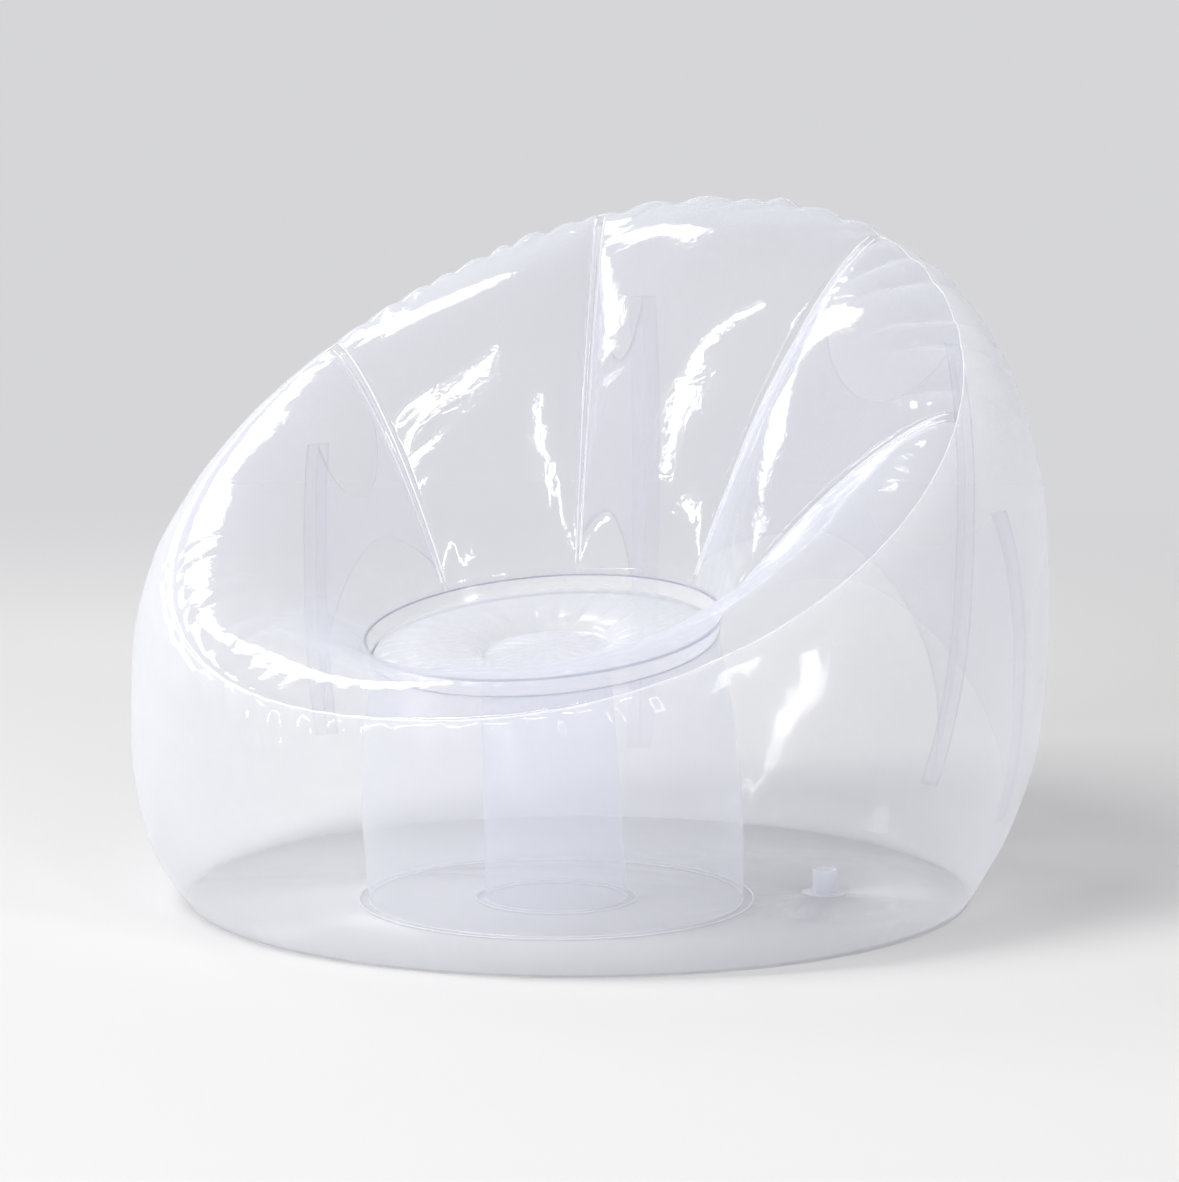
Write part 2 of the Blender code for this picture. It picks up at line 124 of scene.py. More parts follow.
# The wall stands further out than the rim, so a width on it takes fewer degrees
WALL_TURN_SHARE = 0.9

# Seat, its ring, and the two tubes of the pillar
SEAT_RADIUS = 0.188
SEAT_FORWARD = 0.106
SEAT_HEIGHT = 0.300
SEAT_TILT = 9.7
SEAT_CROWN = 0.016
SEAT_RING_SHARE = 0.75
SEAT_CENTRE_RADIUS = 0.068
SEAT_CENTRE_DROP = 0.008
SEAT_DIMPLE = 0.006
SEAT_STILL_SHARE = 0.97
BAND_HEIGHT = 0.020
BAND_TAPER = 0.005
BAND_BELLY = 0.0012
RING_FLANGE = 0.0030
PILLAR_FORWARD = 0.0765
PILLAR_BASE_RADIUS = 0.200
PILLAR_BELLY = 0.010
TUBE_BASE_RADIUS = 0.075
TUBE_BELLY = 0.001
TUBE_HEIGHT = 0.28
TUBE_FLANGE = 0.011
RING_STEP = 2.0

# The valve's hole in the base
VALVE_RIGHT = 0.245
VALVE_BACK = 0.078
VALVE_HOLE_RADIUS = 0.0118
VALVE_HOLE_SIDES = 48

# Radii of the beads that the welds squeeze out
RING_BEAD = 0.0010
RIM_BEAD = 0.0009
CREASE_BEAD = 0.0011
BEAD_SIDES = 10

# Stretches of the rim between headings: seed, pitch in degrees, height of the seam's scallops,
# height of the folds, how far they reach from the seam, and how far they lean in degrees a metre
RIM_STRETCHES = {
    (-66.0, -24.0): (5, 5.0, 0.0088, 0.0020, 0.020, 90.0),
    (-21.0, 29.0): (3, 7.6, 0.0112, 0.0034, 0.028, 130.0),
    (30.0, 77.0): (7, 8.4, 0.0060, 0.0085, 0.036, 20.0),
    (78.0, 170.0): (9, 6.0, 0.0006, 0.0006, 0.025, 0.0),
    (170.0, 210.0): (12, 4.2, 0.0012, 0.0014, 0.022, 0.0),
    (-156.0, -114.0): (15, 7.0, 0.0016, 0.0026, 0.042, -90.0),
    (-114.0, -69.0): (17, 5.4, 0.0012, 0.0003, 0.020, 0.0),
}
# The outer wall is smoother at the left, and has folds of its own at the front
WALL_STRETCHES = {
    **RIM_STRETCHES,
    (-156.0, -114.0): (15, 7.0, 0.0016, 0.0012, 0.020, 0.0),
    (138.0, 214.0): (19, 5.2, 0.0, 0.0085, 0.024, 60.0),
}
STRETCH_SOFT = 6.0
SCALLOP_REACH = 0.020
FOLD_POWER = 0.8
SCALLOP_POWER = 1.1

# Short folds beside the creases, and those across the other welds
CREASE_SWELL = 0.0012
CREASE_PITCH = 0.027
CREASE_REACH = 0.020
CREASE_LEAN = 0.45
CREASE_END = 0.03
CREASE_ROUND = 2.0
WALL_FOOT_FOLD = 0.0011
WALL_FOOT_REACH = 0.012
LINING_FOOT_FOLD = 0.0004
LINING_FOOT_REACH = 0.014
SEAT_FOLD = 0.0022
SEAT_EDGE_REACH = 0.020
SEAT_RING_REACH = 0.016
TUBE_FOLD = 0.0010
TUBE_REACH = 0.012

# Slow unevenness of the big films, which dies out toward their welds
UNEVEN_WAVES = 7
WALL_CALM = 0.05
LINING_CALM_RIM = 0.04
LINING_CALM_FOOT = 0.03
LINING_CALM_TURN = 6.0


# Colours and materials


def colour(hex_code, alpha=1.0):
    """An sRGB hex colour as linear values."""
    parts = [int(hex_code[i:i + 2], 16) / 255 for i in (0, 2, 4)]
    linear = [p / 12.92 if p <= 0.04045 else ((p + 0.055) / 1.055) ** 2.4 for p in parts]
    return (*linear, alpha)


def node(tree, kind, links=(), values=(), **settings):
    """Adds a shader node. Links are (socket, output) pairs and values (socket, value) pairs, and
    the settings are its properties, or its sockets by name."""
    made = tree.nodes.new(kind)
    for key, value in settings.items():
        if hasattr(made, key) and key not in made.inputs:
            setattr(made, key, value)
        else:
            made.inputs[key.replace("_", " ")].default_value = value
    for socket, value in values:
        made.inputs[socket].default_value = value
    for socket, output in links:
        tree.links.new(output, made.inputs[socket])
    return made


def new_material(name):
    made = bpy.data.materials.new(name)
    made.use_nodes = True
    made.node_tree.nodes.clear()
    return made, made.node_tree


# Gloss of a film seen edge on, how late gloss and haze rise toward that, and the light that a
# film takes on its way through
EDGE_GLOSS = 0.6
GLOSS_POWER = 5.0
HAZE_POWER = 3.0
SHADOW_LOSS = 0.10


def soft_film(name, tint, haze_tint, haze, haze_edge, gloss, crinkle_mm, crinkle_height_mm,
              roughness):
    """Soft PVC, calendered or moulded: what is behind shows through its tint, under a milky haze
    that gathers where the film turns edge on, and a wet gloss broken by fine crinkles."""
    made, tree = new_material(name)
    place = node(tree, "ShaderNodeTexCoord")
    pull = node(tree, "ShaderNodeTexNoise", [("Vector", place.outputs["Object"])],
                Scale=1000.0 / crinkle_mm, Detail=2.0, Roughness=0.80, Distortion=0.4)
    bump = node(tree, "ShaderNodeBump", [("Height", pull.outputs["Fac"])],
                Strength=1.0, Distance=crinkle_height_mm / 1000.0)
    edge = node(tree, "ShaderNodeLayerWeight", Blend=0.5)
    shine_rise = node(tree, "ShaderNodeMath", [(0, edge.outputs["Facing"])], [(1, GLOSS_POWER)],
                      operation="POWER")
    gloss_share = node(tree, "ShaderNodeMapRange", [("Value", shine_rise.outputs[0])],
                       To_Min=gloss, To_Max=EDGE_GLOSS)
    haze_rise = node(tree, "ShaderNodeMath", [(0, edge.outputs["Facing"])], [(1, HAZE_POWER)],
                     operation="POWER")
    milky_share = node(tree, "ShaderNodeMapRange", [("Value", haze_rise.outputs[0])],
                       To_Min=haze, To_Max=haze + haze_edge)
    # Shadow rays lose in the haze what the gloss would take, and skip the crinkles
    path = node(tree, "ShaderNodeLightPath")
    lit = node(tree, "ShaderNodeMath", [(1, path.outputs["Is Shadow Ray"])], [(0, 1.0)],
               operation="SUBTRACT")
    shine_share = node(tree, "ShaderNodeMath", [(0, gloss_share.outputs[0]), (1, lit.outputs[0])],
                       operation="MULTIPLY")
    haze_share = node(tree, "ShaderNodeMath", [(0, path.outputs["Is Shadow Ray"]),
                                               (2, milky_share.outputs[0])],
                      [(1, SHADOW_LOSS)], operation="MULTIPLY_ADD")
    clear = node(tree, "ShaderNodeBsdfTransparent", Color=colour(tint))
    milk = node(tree, "ShaderNodeBsdfDiffuse", Color=colour(haze_tint))
    through = node(tree, "ShaderNodeBsdfTranslucent", Color=colour(haze_tint))
    cloud = node(tree, "ShaderNodeMixShader", [(1, milk.outputs[0]), (2, through.outputs[0])],
                 Fac=0.5)
    shine = node(tree, "ShaderNodeBsdfGlossy", [("Normal", bump.outputs["Normal"])],
                 Roughness=roughness, Color=colour("FFFFFF"))
    body = node(tree, "ShaderNodeMixShader", [(0, haze_share.outputs[0]), (1, clear.outputs[0]),
                                              (2, cloud.outputs[0])])
    skin = node(tree, "ShaderNodeMixShader", [(0, shine_share.outputs[0]), (1, body.outputs[0]),
                                              (2, shine.outputs[0])])
    node(tree, "ShaderNodeOutputMaterial", [("Surface", skin.outputs[0])])
    return made


# Each row: tint, tint of the haze, the haze's share head on and what it gains edge on, the gloss's
# share head on, spacing and height of the crinkles in mm, and roughness

# Calendered film, stretched tight over the lobes: clear, with sharp lights that crinkles fray
LINING_FILM = soft_film("lining_vinyl_film", "FEFEFF", "F3F6FF",
                        0.045, 0.50, 0.040, 16.0, 0.30, 0.10)
# The same film, handled most: faintly milky all over, with long soft lights
WALL_FILM = soft_film("wall_vinyl_film", "FFFFFF", "F8FAFF",
                      0.135, 0.35, 0.020, 50.0, 0.7, 0.13)
# Flat film of the pillar's tubes: dull gloss, because it is seen through the wall
FLAT_FILM = soft_film("flat_vinyl_film", "FEFEFF", "F8FAFF",
                      0.095, 0.22, 0.022, 60.0, 0.3, 0.20)
# Inner webs: the clearest film, a pale bluish veil
WEB_FILM = soft_film("web_vinyl_film", "FCFCFD", "FBFCFF",
                     0.060, 0.20, 0.022, 60.0, 0.3, 0.20)
# Thicker film of the base, embossed matt: a milky disc
BASE_FILM = soft_film("base_vinyl_film", "FFFFFF", "FDFDFF",
                      0.680, 0.20, 0.030, 60.0, 0.3, 0.22)
# Doubled film of the band round the seat: a whitish ribbon
RING_FILM = soft_film("ring_weld_film", "FEFEFF", "FFFFFF",
                      0.190, 0.30, 0.045, 12.0, 0.05, 0.14)
# Film of the seat, slackened by use: broad soft lights and a light haze
SEAT_FILM = soft_film("seat_vinyl_film", "FFFFFF", "F8FAFF",
                      0.110, 0.40, 0.030, 40.0, 0.3, 0.22)
# Doubled film, pressed by the welding tool: small even lights
WELD_FILM = soft_film("welded_vinyl_film", "FDFDFE", "FAFBFF",
                      0.070, 0.20, 0.040, 12.0, 0.10, 0.14)
# The same under the creases, drawn up between two panels: whiter along its ridge
SEAM_FILM = soft_film("crease_weld_film", "FBFBFD", "FFFFFF",
                      0.140, 0.40, 0.045, 12.0, 0.06, 0.12)
# Molten PVC squeezed out of a weld and set: a white line
BEAD_VINYL = soft_film("weld_bead_vinyl", "FCFCFE", "FFFFFF",
                       0.480, 0.25, 0.060, 12.0, 0.05, 0.14)
# The same round the seat, tinted grey: painted shade, a thin dark line for the seat ring's shadow
# gap
SHADE_LINE_VINYL = soft_film("painted_shade_bead_vinyl", "D9DCE6", "EEF0F6",
                       0.200, 0.25, 0.060, 12.0, 0.05, 0.14)
# Soft moulded PVC of the valve, about 2 mm thick: cloudy, with a satin gloss
VALVE_VINYL = soft_film("moulded_vinyl", "FDFDFE", "FAFBFF",
                        0.42, 0.30, 0.040, 9.0, 0.05, 0.18)


# Plan geometry of the gores, for many headings at once


def toward(headings):
    """Unit steps in plan."""
    angle = np.radians(headings)
    return np.stack((np.sin(angle), np.cos(angle)), axis=-1)


def reach(start, along, half_width, half_depth, centre_y):
    """Distance along plan rays from inside an ellipse to its edge."""
    scale = np.array((1.0 / half_width, 1.0 / half_depth))
    p = (start - np.array((0.0, centre_y))) * scale
    d = along * scale
    a = (d * d).sum(-1)
    b = (p * d).sum(-1)
    c = (p * p).sum(-1) - 1.0
    return (-b + np.sqrt(b * b - a * c)) / a


def rim_height(headings):
    rise = (0.5 + 0.5 * np.cos(np.radians(headings))) ** RIM_FALL_POWER
    return FRONT_HEIGHT + (BACK_HEIGHT - FRONT_HEIGHT) * rise


def on_seat(radius, headings, lift):
    """Points over the tilted seat plane, at radii from its middle and lifts off it."""
    radius, headings, lift = np.broadcast_arrays(radius, headings, lift)
    tilt = math.radians(SEAT_TILT)
    flat = radius[..., None] * toward(headings)
    y = -SEAT_FORWARD + flat[..., 1] * math.cos(tilt) - lift * math.sin(tilt)
    z = SEAT_HEIGHT + flat[..., 1] * math.sin(tilt) + lift * math.cos(tilt)
    return np.stack((flat[..., 0], y, z), axis=-1)


def seat_heading(headings):
    """Where the gores of these rim headings start on the seat ring."""
    rims = [crease for crease, _, _ in WEB_HEADINGS.values()]
    feet = [foot for _, foot, _ in WEB_HEADINGS.values()]
    turns = np.floor((np.asarray(headings) + 180.0) / 360.0)
    here = headings - 360.0 * turns
    return 360.0 * turns + np.interp(here, [-180.0, *rims, 180.0], [-180.0, *feet, 180.0])


class Gores:
    """The upright sections through a row of rim headings."""

    def __init__(self, headings):
        self.headings = np.asarray(headings, dtype=float)
        seat = on_seat(SEAT_RADIUS, seat_heading(self.headings), 0.0)
        self.start = seat[:, :2]
        self.seat_z = seat[:, 2]
        rim = RIM_RADIUS * toward(self.headings) - np.array((0.0, RIM_FORWARD))
        self.rim_q = np.linalg.norm(rim - self.start, axis=1)
        self.along = (rim - self.start) / self.rim_q[:, None]
        self.rim_z = rim_height(self.headings)
        self.base_q = reach(self.start, self.along, BASE_RADIUS, BASE_RADIUS, -BASE_FORWARD)
        self.belly_q = reach(self.start, self.along, CHAIR_WIDTH / 2, CHAIR_DEPTH / 2, 0.0)
        self.belly_z = WALL_BELLY_SHARE * self.rim_z

    def points(self, q, z):
        """World places, one row per gore, of distances out and heights."""
        plan = self.start[:, None, :] + self.along[:, None, :] * q[..., None]
        return np.concatenate((plan, z[..., None]), axis=-1)

    def wall(self, foot_rows, shoulder_rows):
        """Outer wall grid, from its foot up to the rim."""
        t = np.linspace(0.0, 1.0, foot_rows + 1)[None, :]
        low = FILM + GAP
        base_q, belly_q = self.base_q[:, None], self.belly_q[:, None]
        belly_z = self.belly_z[:, None]
        q_foot = base_q + (belly_q - base_q) * (1.0 - (1.0 - t) ** WALL_FOOT_POWER)
        z_foot = low + (belly_z - low) * t
        angle = np.linspace(0.0, math.pi / 2, shoulder_rows + 1)[None, 1:]
        rim_q = self.rim_q[:, None] + 2 * GAP
        q_top = rim_q + (belly_q - rim_q) * np.cos(angle)
        z_top = belly_z + (self.rim_z[:, None] - belly_z) * np.sin(angle)
        return self.points(np.concatenate((q_foot, q_top), axis=1),
                           np.concatenate((z_foot, z_top), axis=1))

    def lining(self, shares, bulges, puffs=0.0, tucks=0.0):
        """Lining grid, from the seat ring out to the rim. A puff adds fullness low on a lobe, and a
        tuck flattens it at the rim, so that the seam stands up as the chamber's edge."""
        shares = np.asarray(shares)[None, :]
        bulges = np.asarray(bulges)[:, None]
        rise = (self.rim_z - self.seat_z)[:, None]
        run = self.rim_q[:, None]
        peak = 1.0 / (1.0 + LOBE_CURL)
        swell = bulges * shares / peak * (np.clip(1.0 - shares, 0, 1) / (1.0 - peak)) ** LOBE_CURL
        swell = swell + np.reshape(puffs, (-1, 1)) * np.sin(math.pi * shares ** 0.8)
        frontal = (0.5 - 0.5 * np.cos(np.radians(self.headings)))[:, None]
        reaches = TUCK_REACH_SHARE * (1.0 + TUCK_FRONT_SHARE * frontal)
        near_rim = np.exp(-((1.0 - shares) / reaches) ** 2)
        swell = swell * (1.0 - np.reshape(tucks, (-1, 1)) * near_rim)
        return self.points(run * shares - rise * swell,
                           self.seat_z[:, None] + rise * shares + run * swell)


def lobe_fullness(headings, low, high):
    """0 at both creases of a panel, and 1 on the crown of its lobe."""
    near = np.minimum(np.minimum(headings - low, high - headings), LOBE_WIDTH)
    width = min(LOBE_WIDTH, (high - low) / 2)
    return np.sin(math.pi / 2 * np.clip(near / width, 0.0, 1.0)) ** LOBE_POWER


def even_headings(low, high, step):
    """Headings from low to high, evenly and at most a step apart."""
    count = math.ceil((high - low) / step)
    return np.linspace(low, high, count + 1)


# Film made from grids of places


def surface_normals(grid, closed):
    """Unit normals of a grid of points, by the right-hand rule from columns to rows."""
    if closed:
        around = np.concatenate((grid[-2:-1], grid, grid[1:2]), axis=0)
        across = (around[2:] - around[:-2]) / 2
    else:
        across = np.gradient(grid, axis=0)
    up = np.gradient(grid, axis=1)
    normals = np.cross(across, up)
    size = np.linalg.norm(normals, axis=-1, keepdims=True)
    return normals / np.maximum(size, 1e-12)


def row_distance(grid, from_top):
    """Length along each column from its top or its foot."""
    steps = np.linalg.norm(np.diff(grid, axis=1), axis=-1)
    up = np.concatenate((np.zeros((len(grid), 1)), np.cumsum(steps, axis=1)), axis=1)
    return up[:, -1:] - up if from_top else up


def new_object(name, shape, material, slot, replaced=(), thickness=FILM, offset=-1.0,
               body="chair"):
    """A finished piece: its mesh, film thickness and material, on its body, with the nodes it
    replaces hidden.
    """
    mesh = bpy.data.meshes.new(name)
    shape.to_mesh(mesh)
    shape.free()
    mesh.shade_smooth()
    mesh.materials.append(material)
    made = bpy.data.objects.new(name, mesh)
    bpy.context.scene.collection.objects.link(made)
    if thickness:
        wall = made.modifiers.new("film", "SOLIDIFY")
        wall.thickness = thickness
        wall.offset = offset
        wall.use_even_offset = True
    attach(made, body)
    if replaced:
        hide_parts(*replaced)
    return made


def film_from_grid(name, grid, material, slot, closed=False, flip=False, **about):
    """A film on a grid of world places, columns by rows."""
    columns, rows = grid.shape[0] - 1, grid.shape[1] - 1
    shape = bmesh.new()
    bmesh.ops.create_grid(shape, x_segments=columns, y_segments=rows, size=0.5)
    for corner in shape.verts:
        i = round((corner.co.x + 0.5) * columns)
        j = round((corner.co.y + 0.5) * rows)
        corner.co = grid[i, j]
    if closed:
        bmesh.ops.remove_doubles(shape, verts=shape.verts, dist=FILM / 100)
    if flip:
        bmesh.ops.reverse_faces(shape, faces=shape.faces)
    return new_object(name, shape, material, slot, **about)


def weld_bead(name, line, radius, closed=False, material=BEAD_VINYL):
    """The thin raised bead that a weld squeezes out along a line, drawn to a point at open ends."""
    if closed:
        ahead = np.roll(line[:-1], -1, axis=0) - np.roll(line[:-1], 1, axis=0)
        ahead = np.concatenate((ahead, ahead[:1]))
    else:
        ahead = np.gradient(line, axis=0)
    side = np.cross(ahead, (0.0, 0.0, 1.0))
    side /= np.linalg.norm(side, axis=1)[:, None]
    up = np.cross(side, ahead)
    up /= np.linalg.norm(up, axis=1)[:, None]
    size = np.full(len(line), radius)
    if not closed:
        size[[0, -1]] = 0.0
    turn = np.linspace(0.0, math.tau, BEAD_SIDES + 1)[None, :, None]
    ring = side[:, None, :] * np.cos(turn) + up[:, None, :] * np.sin(turn)
    film_from_grid(name, line[:, None, :] + size[:, None, None] * ring, material, "weld_film",
                   closed=True, thickness=0.0)


# What air and welds do to a film


class Puckers:
    """Uneven puckers along a weld: swells between sharp pinches, repeating after a whole turn."""

    def __init__(self, seed, pitch, turn=360.0, jitter=0.35, power=0.6):
        rng = np.random.default_rng(seed)
        self.power = power
        widths = 1.0 + jitter * rng.uniform(-1, 1, round(turn / pitch))
        self.turn = turn
        self.pinches = np.concatenate(([0.0], np.cumsum(widths))) * turn / widths.sum()
        self.heights = rng.uniform(0.5, 1.0, len(widths))

    def __call__(self, where):
        """0 at a pinch, up to 1 on the swell between two."""
        where = np.asarray(where) % self.turn
        i = np.searchsorted(self.pinches, where, side="right") - 1
        i = np.clip(i, 0, len(self.heights) - 1)
        t = (where - self.pinches[i]) / (self.pinches[i + 1] - self.pinches[i])
        return self.heights[i] * np.clip(4.0 * t * (1.0 - t), 0.0, 1.0) ** self.power


def undulation(grid, seed, wave, height):
    """A slow unevenness of the film, from a few plane waves."""
    rng = np.random.default_rng(seed)
    total = np.zeros(grid.shape[:2])
    for _ in range(UNEVEN_WAVES):
        way = rng.normal(size=3)
        way /= np.linalg.norm(way)
        turn = grid @ way * math.tau / (wave * rng.uniform(0.7, 1.6)) + rng.uniform(0, math.tau)
        total += np.sin(turn)
    return height * total / UNEVEN_WAVES ** 0.5


def wrapped(headings):
    """The same headings, from -180 to 180."""
    return (np.asarray(headings) + 180.0) % 360.0 - 180.0


def between(headings, low, high, soft):
    """1 between two headings, fading outside them."""
    rise = np.clip((headings - low) / soft + 0.5, 0, 1)
    fall = np.clip((high - headings) / soft + 0.5, 0, 1)
    return rise * fall


def weld_folds(puckers, headings, distance, fold_reach, level=0.4):
    """Folds across a weld: 0 on it, fullest at their reach, and fading beyond it."""
    near = distance / fold_reach
    return (puckers(headings)[:, None] - level) * near * np.exp(1.0 - near)


def with_rim_puckers(grid, headings, normals, distance, stretches):
    """Folds the film near the rim, and lifts the seam between its pinches."""
    moved = grid.copy()
    for (low, high), (seed, pitch, scallop, fold, reaches, lean) in stretches.items():
        middle = (low + high) / 2
        turned = middle + wrapped(headings - middle)[:, None]
        strength = between(turned, low, high, STRETCH_SOFT)
        near = distance / reaches
        waves = Puckers(seed, pitch, power=FOLD_POWER)(turned + lean * distance) - 0.5
        swell = fold * waves * strength * near * np.exp(0.5 - 0.5 * near ** 2)
        edge = Puckers(seed, pitch, power=SCALLOP_POWER)(turned) - 0.5
        lift = scallop * edge * strength * np.exp(-(distance / SCALLOP_REACH) ** 2)
        moved += normals * swell[..., None]
        moved[..., 2] += lift
    return moved


def with_crease_puckers(grid, normals, seed):
    """Short folds that run away from both creases of a lining panel."""
    steps = np.linalg.norm(np.diff(grid, axis=0), axis=-1)
    across = np.concatenate((np.zeros((1, grid.shape[1])), np.cumsum(steps, axis=0)), axis=0)
    along = row_distance(grid, False)
    total = np.zeros(grid.shape[:2])
    for k, side in enumerate((across, across[-1:] - across)):
        folds = Puckers(seed + 40 * k, CREASE_PITCH, turn=CREASE_ROUND, jitter=0.5)
        near = side / CREASE_REACH
        total += (folds(along - CREASE_LEAN * side) - 0.45) * near * np.exp(1.0 - near)
    ends = np.clip(along / CREASE_END, 0, 1)
    return grid + normals * (CREASE_SWELL * total * ends)[..., None]


# Outer wall and lining


def make_outer_wall():
    """The barrel of film from the base up to the rim, with the seam's bead on its top."""
    low, high = BACK_HEADINGS
    headings = np.concatenate((even_headings(-180.0, low, WALL_STEP)[:-1],
                               even_headings(low, high, FINE_STEP),
                               even_headings(high, 180.0, WALL_STEP)[1:]))
    grid = Gores(headings).wall(foot_rows=32, shoulder_rows=48)
    normals = surface_normals(grid, True)
    if (grid[..., :2] * normals[..., :2]).sum() < 0:
        normals = -normals
    distance = row_distance(grid, True)
    foot = row_distance(grid, False)
    moved = with_rim_puckers(grid, headings, normals, distance, WALL_STRETCHES)
    calm = np.clip(foot / WALL_CALM, 0, 1) * np.clip(distance / WALL_CALM, 0, 1)
    uneven = undulation(grid, seed=11, wave=0.15, height=0.0011) * calm
    moved += normals * uneven[..., None]
    gather = weld_folds(Puckers(8, 4.2), headings, foot, WALL_FOOT_REACH)
    moved += normals * (WALL_FOOT_FOLD * gather)[..., None]
    moved[-1] = moved[0]
    film_from_grid("outer_wall_film", moved, WALL_FILM, "clear_film", closed=True, flip=True,
                   replaced=["outer_wall"])
    weld_bead("rim_weld_bead", moved[:, -1], RIM_BEAD, closed=True)


def lining_grid(low, high, headings, shares, seed):
    """A lining panel, puffed and puckered."""
    fullness = lobe_fullness(headings, low, high)
    bulges = CREASE_SHARE + (LOBE_SHARE - CREASE_SHARE) * fullness
    untucked = between(wrapped(headings), *UNTUCKED_HEADINGS, soft=UNTUCKED_SOFT)
    tucks = RIM_TUCK_SHARE * fullness * (1.0 - untucked)
    grid = Gores(headings).lining(shares, bulges, LOBE_PUFF_SHARE * fullness ** 0.6, tucks)
    normals = surface_normals(grid, False)
    if normals[..., 2].sum() < 0:
        normals = -normals
    distance = row_distance(grid, True)
    foot = row_distance(grid, False)
    moved = with_rim_puckers(grid, headings, normals, distance, RIM_STRETCHES)
    moved = with_crease_puckers(moved, normals, 60 + seed)
    calm = np.clip(distance / LINING_CALM_RIM, 0, 1) * np.clip(foot / LINING_CALM_FOOT, 0, 1)
    from_crease = np.minimum(headings - low, high - headings)[:, None]
    calm = calm * np.clip(from_crease / LINING_CALM_TURN, 0, 1)
    uneven = undulation(grid, seed=21 + seed, wave=0.13, height=0.0013) * calm
    moved += normals * uneven[..., None]
    ring = weld_folds(Puckers(14, 8.0), headings, foot, LINING_FOOT_REACH)
    moved += normals * (LINING_FOOT_FOLD * ring)[..., None]
    return moved


def make_lining():
    """The four panels between the creases, with rows that lie closer together toward the rim."""
    creases = [crease for crease, _, _ in WEB_HEADINGS.values()]
    creases.append(creases[0] + 360.0)
    names = ("lining_left", "lining_back", "lining_right", "lining_front")
    margin = math.degrees(CREASE_HALF_GAP / RIM_RADIUS)
    shares = np.sin(math.pi / 2 * np.linspace(0, 1, LINING_ROWS + 1))
    for seed, (name, low, high) in enumerate(zip(names, creases, creases[1:])):
        step = FINE_STEP if high - low < LONG_PANEL else LONG_PANEL_STEP
        headings = even_headings(low + margin, high - margin, step)
        moved = lining_grid(low, high, headings, shares, seed)
        film_from_grid(name + "_film", moved, LINING_FILM, "clear_film", replaced=[name])


# Webs and their weld strips


def offset_section(points, distance):
    """A section line moved to its right by a distance, with its corners mitred."""
    steps = np.diff(points, axis=0)
    steps /= np.linalg.norm(steps, axis=1)[:, None]
    rights = np.stack((steps[:, 1], -steps[:, 0]), axis=1)
    before = np.concatenate((rights[:1], rights))
    after = np.concatenate((rights, rights[-1:]))
    middle = before + after
    middle /= np.linalg.norm(middle, axis=1)[:, None]
    return points + middle * (distance / (middle * after).sum(1))[:, None]


def moved_line(heading, kind, depth, shares=None):
    """World places along a crease or up the wall, moved into the chamber by a depth."""
    gores = Gores([heading])
    if kind == "crease":
        line = gores.lining(shares, [CREASE_SHARE])[0]
    else:
        line = gores.wall(foot_rows=20, shoulder_rows=28)[0]
        depth = -depth
    flat = np.stack(((line[:, :2] - gores.start[0]) @ gores.along[0], line[:, 2]), axis=1)
    q, z = offset_section(flat, depth).T
    return gores.points(q[None], z[None])[0]


def at_heights(line, heights):
    """Points of a rising line at these heights."""
    return np.stack([np.interp(heights, line[:, 2], line[:, k]) for k in range(3)], axis=-1)


def make_web(name, crease, strip, foot, top):
    """An upright sheet from the crease to the wall strip, notched above and arched below."""
    depth = 2 * FILM + GAP + WEB_EDGE_GAP
    inner = moved_line(crease, "crease", depth, np.linspace(WEB_FOOT_SHARE, WEB_TOP_SHARE, 40))
    outer = moved_line(strip, "wall", depth)
    level = inner[-1, 2]
    rise = inner[0, 2]
    width = np.linalg.norm(at_heights(outer, top) - inner[-1])
    a = 0.5 - 0.5 * np.cos(math.pi * np.linspace(0, 1, WEB_COLUMNS + 1))
    fall = (a - ARCH_PEAK_SHARE) / (1.0 - ARCH_PEAK_SHARE)
    climb = 1.0 - a / ARCH_PEAK_SHARE
    outside = foot + (rise + ARCH_RISE - foot) * np.clip(1.0 - fall ** 2, 0, 1) ** ARCH_POWER
    inside = rise + ARCH_RISE * np.sqrt(np.clip(1.0 - climb ** 2, 0, 1))
    arch = np.where(a > ARCH_PEAK_SHARE, outside, inside)
    notch = level + (top - level) * a - NOTCH_DEPTH_SHARE * width * np.sin(math.pi * a)
    t = np.linspace(0, 1, WEB_ROWS + 1)
    z = arch[:, None] + (notch - arch)[:, None] * t[None, :]
    share = a[:, None, None]
    grid = at_heights(inner, z) * (1.0 - share) + at_heights(outer, z) * share
    grid[..., 2] = z
    film_from_grid("web_" + name + "_film", grid, WEB_FILM, "clear_film",
                   replaced=["web_" + name], offset=0.0)


def make_crease_strip(name, heading):
    """The doubled film behind the crease, that both panels and the web are welded on."""
    half = math.degrees(CREASE_STRIP_WIDTH / 2 / RIM_RADIUS)
    shares = np.linspace(WEB_FOOT_SHARE, 1.0 - WEB_FOOT_SHARE, 44)
    lines = []
    for side in np.linspace(-1.0, 1.0, 19):
        raised = CREASE_RIDGE * np.clip(np.cos(math.pi * side), 0, 1) ** CREASE_RIDGE_POWER
        lines.append(moved_line(heading + side * half, "crease", FILM + GAP - raised, shares))
    film_from_grid("crease_strip_" + name + "_film", np.stack(lines), SEAM_FILM, "weld_film",
                   replaced=["crease_strip_" + name])
    edge = math.degrees(CREASE_HALF_GAP / RIM_RADIUS)
    for side, turn in (("left", -edge), ("right", edge)):
        line = moved_line(heading + turn, "crease", -CREASE_BEAD,
                          np.linspace(*CREASE_LINE_SHARES, 70))
        weld_bead("crease_bead_" + name + "_" + side, line, CREASE_BEAD)


